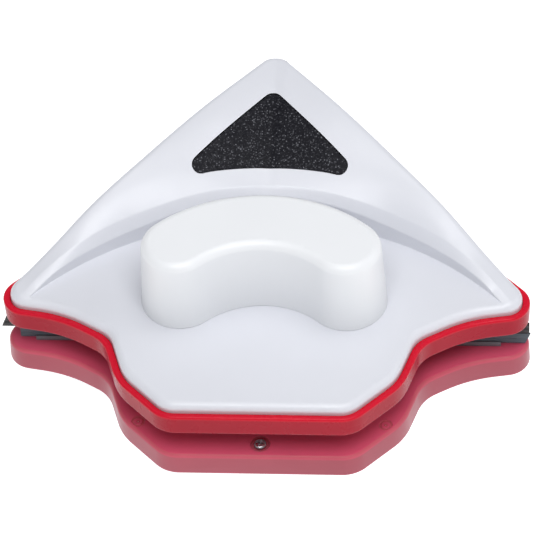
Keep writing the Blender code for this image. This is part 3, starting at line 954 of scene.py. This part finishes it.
def screw_mesh(x, y, seat):
    """A pan head with a cross recess, and a stub of shaft. The head is below seat."""
    profile = [
        (SHAFT_RADIUS, seat + SHAFT_STUB),
        (SHAFT_RADIUS, seat),
        (HEAD_RADIUS - HEAD_BEVEL[0], seat),
        (HEAD_RADIUS, seat - HEAD_BEVEL[1]),
    ]
    for turn in quarter_turn(8)[1:]:
        share = HEAD_FLAT_SHARE + (1 - HEAD_FLAT_SHARE) * math.cos(turn)
        radius = HEAD_RADIUS * (share if turn < math.pi / 2 else HEAD_TIP_SHARE)
        profile.append((radius, seat - HEAD_WALL - (HEAD_HEIGHT - HEAD_WALL) * math.sin(turn)))
    rings = [[(px, py, z) for px, py in circle(x, y, radius, 32)] for radius, z in profile]
    screw = lofted("screw_form", rings)
    top = seat - HEAD_HEIGHT
    for turn in (CROSS_TURN, CROSS_TURN + math.pi / 2):
        spin = Matrix.Rotation(turn, 2)
        sections = []
        for rise, reach, half in CROSS_SECTIONS:
            corners = [(i * reach, j * half) for i, j in ((-1, -1), (1, -1), (1, 1), (-1, 1))]
            turned = [spin @ Vector(corner) for corner in corners]
            sections.append([(x + point.x, y + point.y, top + rise) for point in turned])
        cutter = lofted("cross_form", sections)
        applied(screw, "BOOLEAN", operation="DIFFERENCE", solver="MANIFOLD", object=cutter)
        bpy.data.objects.remove(cutter)
    mesh = sharp_mesh(screw.data, 28)
    bpy.data.objects.remove(screw)
    return mesh


def blade_mesh(half):
    """The rubber blade: a flat root, two fine beads and a thin lip, with slanted ends."""
    section = [*BLADE_SIDE, *((-y, z) for y, z in reversed(BLADE_SIDE))]
    left, right = BLADE_ENDS[half]
    rings = []
    for step in range(BLADE_STEPS + 1):
        ring = []
        for y, z in section:
            start = left + BLADE_TIP_SLANT * z / BLADE_TOP
            x = start + (right - start) * step / BLADE_STEPS
            wave = BLADE_WAVE * math.sin(BLADE_WAVE_RATE * x + BLADE_WAVE_START[half])
            ring.append((x, BLADE_Y + y + wave * (1 - z / BLADE_TOP), z))
        rings.append(ring)
    blade = lofted("blade_form", rings)
    mesh = sharp_mesh(blade.data, 40)
    bpy.data.objects.remove(blade)
    return mesh


def pad_mesh(name, corners):
    """A soft pad: swollen by cloth pressure, flat towards the tray, with a pressed line inside its edge."""
    outline = rounded(mirrored(corners), PAD_INSET, 6)
    pad = lofted(name, [[(x, y, z) for x, y in outline] for z in (PAD_LOW, BASE_Z - PAD_BELOW_TRAY)])
    applied(pad, "REMESH", mode="VOXEL", voxel_size=PAD_VOXEL)
    before = np.array([vertex.co for vertex in pad.data.vertices])
    swell(pad)
    after = np.array([vertex.co for vertex in pad.data.vertices])
    move = after - before
    reach = np.linalg.norm(move, axis=1, keepdims=True)
    after = before + move * np.minimum(1.0, PAD_MOST_SWELL / np.maximum(reach, 1e-9))
    edge = dense(lambda inset: rounded(mirrored(corners), inset, 6), 0.0, 0.001)
    away = gap_to(after[:, :2], edge)
    pressed = np.exp(-(((away - PRESSED_LINE) / PRESSED_WIDTH) ** 2))
    ripple = RIPPLE_DEPTH * np.sin(after[:, 0] * RIPPLE_RATES[0]) * np.sin(after[:, 1] * RIPPLE_RATES[1])
    lower = after[:, 2] < PAD_LOWER_SIDE
    after[:, 2] += np.where(lower, PRESSED_DEPTH * pressed + ripple, 0.0)
    after[:, 2] = np.clip(after[:, 2], GLASS_GAP + PAD_LEAST_GAPS[0], BASE_Z - PAD_LEAST_GAPS[1])
    pad.data.vertices.foreach_set("co", after.ravel())
    pad.data.update()
    mesh = applied(pad, "SUBSURF", levels=1, render_levels=1)
    mesh.shade_smooth()
    bpy.data.objects.remove(pad)
    return mesh


def swell(pad):
    """Blows the pad up with Blender's cloth and keeps the result."""
    scene = bpy.context.scene
    modifier = pad.modifiers.new("cloth", "CLOTH")
    settings = modifier.settings
    settings.use_pressure = True
    settings.uniform_pressure_force = SWELL_PRESSURE
    settings.effector_weights.gravity = 0.0
    settings.quality = 5
    modifier.point_cache.frame_start, modifier.point_cache.frame_end = 1, SWELL_FRAMES
    for step in range(1, SWELL_FRAMES + 1):
        scene.frame_set(step)
    mesh = bpy.data.meshes.new_from_object(pad.evaluated_get(bpy.context.evaluated_depsgraph_get()))
    pad.modifiers.clear()
    pad.data = mesh
    scene.frame_set(1)


# Placing: one mesh serves both halves.

PLACE = {
    "inner": Matrix.Translation((0.0, 0.0, HANDLE_TOP)),
    "outer": Matrix.Translation((0.0, 0.0, HANDLE_TOP)) @ Matrix.Rotation(math.pi, 4, "Y"),
}


def place(half, part, mesh, material, slot):
    """Puts a piece in its half, in place of the CAD node of the same part."""
    piece = loose(f"{half}_{part}_look", mesh)
    piece.matrix_world = PLACE[half]
    if not mesh.materials:
        mesh.materials.append(None)
    piece.material_slots[0].link = "OBJECT"
    piece.material_slots[0].material = material
    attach(piece, f"{half}_half")
    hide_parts(f"{half}_{part}")
    return piece


def paint(node, material):
    """Gives a carried-over CAD node its material."""
    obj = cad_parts[node]
    obj.data.materials.clear()
    obj.data.materials.append(material)


def build():
    """Makes each mesh once and puts it in both halves."""
    meshes = {
        "cover": cover_shape().mesh("cover"),
        "inset_plate": plate_shape().mesh("plate"),
        "handle": handle_shape().mesh("handle"),
        "base_tray": tray_shape().mesh("tray"),
    }
    pads = {"front_pad": pad_mesh("front_pad", FRONT_PAD), "rear_pad": pad_mesh("rear_pad", REAR_PAD)}
    seat = BASE_Z + RECESS_DEPTH - SCREW_SUNK
    screws = [screw_mesh(x, y, seat) for x, y in BASE_SCREWS]
    rims = {"inner": (RED, "red_plastic"), "outer": (ROSE, "rose_plastic")}
    rubbers = {"inner": (BLACK_RUBBER, "black_rubber"), "outer": (GREY_RUBBER, "grey_rubber")}
    for half in HALVES:
        place(half, "cover", meshes["cover"], WHITE, "white_plastic")
        place(half, "inset_plate", meshes["inset_plate"], GLITTER, "black_plate")
        place(half, "handle", meshes["handle"], HANDLE_WHITE_PAINTED_LIGHTER, "white_plastic")
        place(half, "base_tray", meshes["base_tray"], *rims[half])
        place(half, "wiper_blade", blade_mesh(half), *rubbers[half])
        for name, mesh in pads.items():
            place(half, name, mesh, PAD_CLOTH, "pad_fabric")
        for number, mesh in enumerate(screws, 1):
            place(half, f"base_screw_{number}", mesh, ZINC, "zinc_steel")
        paint(f"{half}_blade_rail", GREY)
        paint(f"{half}_magnet_carrier", GREY)
        paint(f"{half}_yoke_plate", ZINC)
        for number in (1, 2):
            paint(f"{half}_handle_screw_{number}", ZINC)
        for number in (1, 2, 3, 4):
            paint(f"{half}_magnet_{number}", NICKEL)


# Studio.


def make_floor():
    """A wide pale floor that glows a little, as in a light tent."""
    side, z = FLOOR_HALF_SIDE, FLOOR_Z
    mesh = bpy.data.meshes.new("floor")
    corners = [(-side, -side, z), (side, -side, z), (side, side, z), (-side, side, z)]
    mesh.from_pydata(corners, [], [(0, 1, 2, 3)])
    floor = loose("floor", mesh)
    material, nodes, links, shader, place_of = new_material("floor_paper")
    tone = noise(nodes, links, place_of, scale=3.0, detail=2.0)
    links.new(ramp(nodes, links, tone, ((0.2, 0.86), (0.8, 0.88))), shader.inputs["Base Color"])
    shader.inputs["Roughness"].default_value = 0.95
    shader.inputs["Specular IOR Level"].default_value = 0.0
    shader.inputs["Emission Color"].default_value = (1.0, 1.0, 1.0, 1.0)
    shader.inputs["Emission Strength"].default_value = FLOOR_GLOW
    mesh.materials.append(material)


def add_light(name, place_at, width, height, power):
    light = bpy.data.lights.new(name, "AREA")
    light.shape, light.size, light.size_y = "RECTANGLE", width, height
    light.energy = power
    lamp = loose(name, light)
    lamp.location = place_at
    lamp.rotation_euler = (Vector(LIGHT_TARGET) - Vector(place_at)).to_track_quat("-Z", "Y").to_euler()


def make_lights():
    world = bpy.data.worlds.new("studio")
    bpy.context.scene.world = world
    world.use_nodes = True
    background = world.node_tree.nodes["Background"]
    background.inputs["Color"].default_value = SKY_COLOUR
    background.inputs["Strength"].default_value = SKY_STRENGTH
    add_light("top_box", (0.12, -0.62, 1.45), width=0.9, height=0.7, power=12.2)
    add_light("rear_box", (0.10, 0.15, 1.50), width=0.7, height=0.5, power=3.6)
    add_light("right_box", (1.3, 0.2, 1.1), width=0.9, height=0.9, power=3.0)


def make_camera():
    elevation, azimuth, roll = CAMERA_ELEVATION, CAMERA_AZIMUTH, CAMERA_ROLL
    flat = math.cos(elevation)
    back = Vector((math.sin(azimuth) * flat, -math.cos(azimuth) * flat, math.sin(elevation)))
    level_right = Vector((math.cos(azimuth), math.sin(azimuth), 0))
    level_up = back.cross(level_right)
    right = level_right * math.cos(roll) - level_up * math.sin(roll)
    up = level_up * math.cos(roll) + level_right * math.sin(roll)
    data = bpy.data.cameras.new("camera")
    data.sensor_width = 36.0
    data.lens = CAMERA_LENS
    data.clip_end = 30.0
    camera = loose("camera", data)
    camera.matrix_world = Matrix((right, up, back)).transposed().to_4x4()
    camera.location = Vector(CAMERA_TARGET) + back * CAMERA_DISTANCE
    bpy.context.scene.camera = camera


build()
make_floor()
make_lights()
make_camera()
bpy.context.scene.view_settings.view_transform = "Standard"
